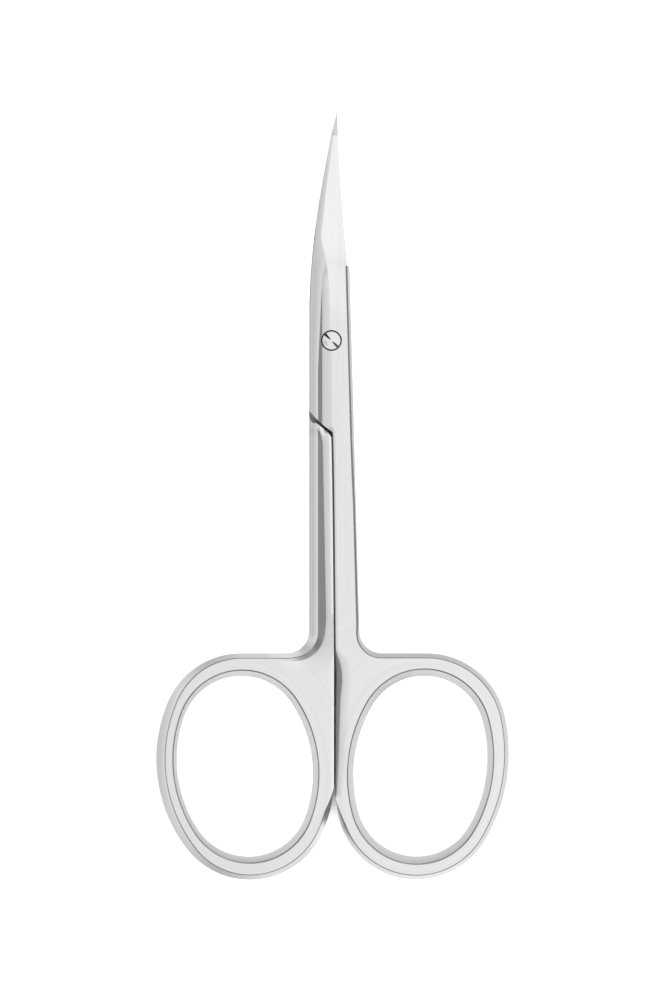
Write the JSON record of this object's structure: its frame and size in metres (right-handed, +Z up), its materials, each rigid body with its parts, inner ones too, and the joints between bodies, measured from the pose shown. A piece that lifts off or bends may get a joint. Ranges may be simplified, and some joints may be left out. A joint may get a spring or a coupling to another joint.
{
  "type": "cuticle scissors",
  "caption": "Small polished steel cuticle scissors with slim upward-curved blades, straight shanks, oval finger rings and a slotted pivot screw.",
  "frame": {"origin": "on the pivot axis, at the plane of the back half's flat back, which the scissors rest on", "axes": "+Y along the closed scissors towards the blade tips, +X towards the ring of the front half, +Z up from the table, out of the slotted screw head"},
  "size_m": [0.0514, 0.1119, 0.0057],
  "materials": {
    "front_steel": "polished stainless steel with fine grinding lines",
    "back_steel": "polished stainless steel with fine grinding lines",
    "screw_steel": "turned stainless steel, polished head"
  },
  "bodies": {
    "back": {"back_half": "back_steel", "pivot_screw": "screw_steel"},
    "front": {"front_half": "front_steel"}
  },
  "joints": [
    {"name": "pivot", "type": "hinge", "parent": "back", "child": "front", "pos_m": [0, 0, 0.0017], "axis": [0, 0, 1], "range_deg": [0, 120]}
  ]
}
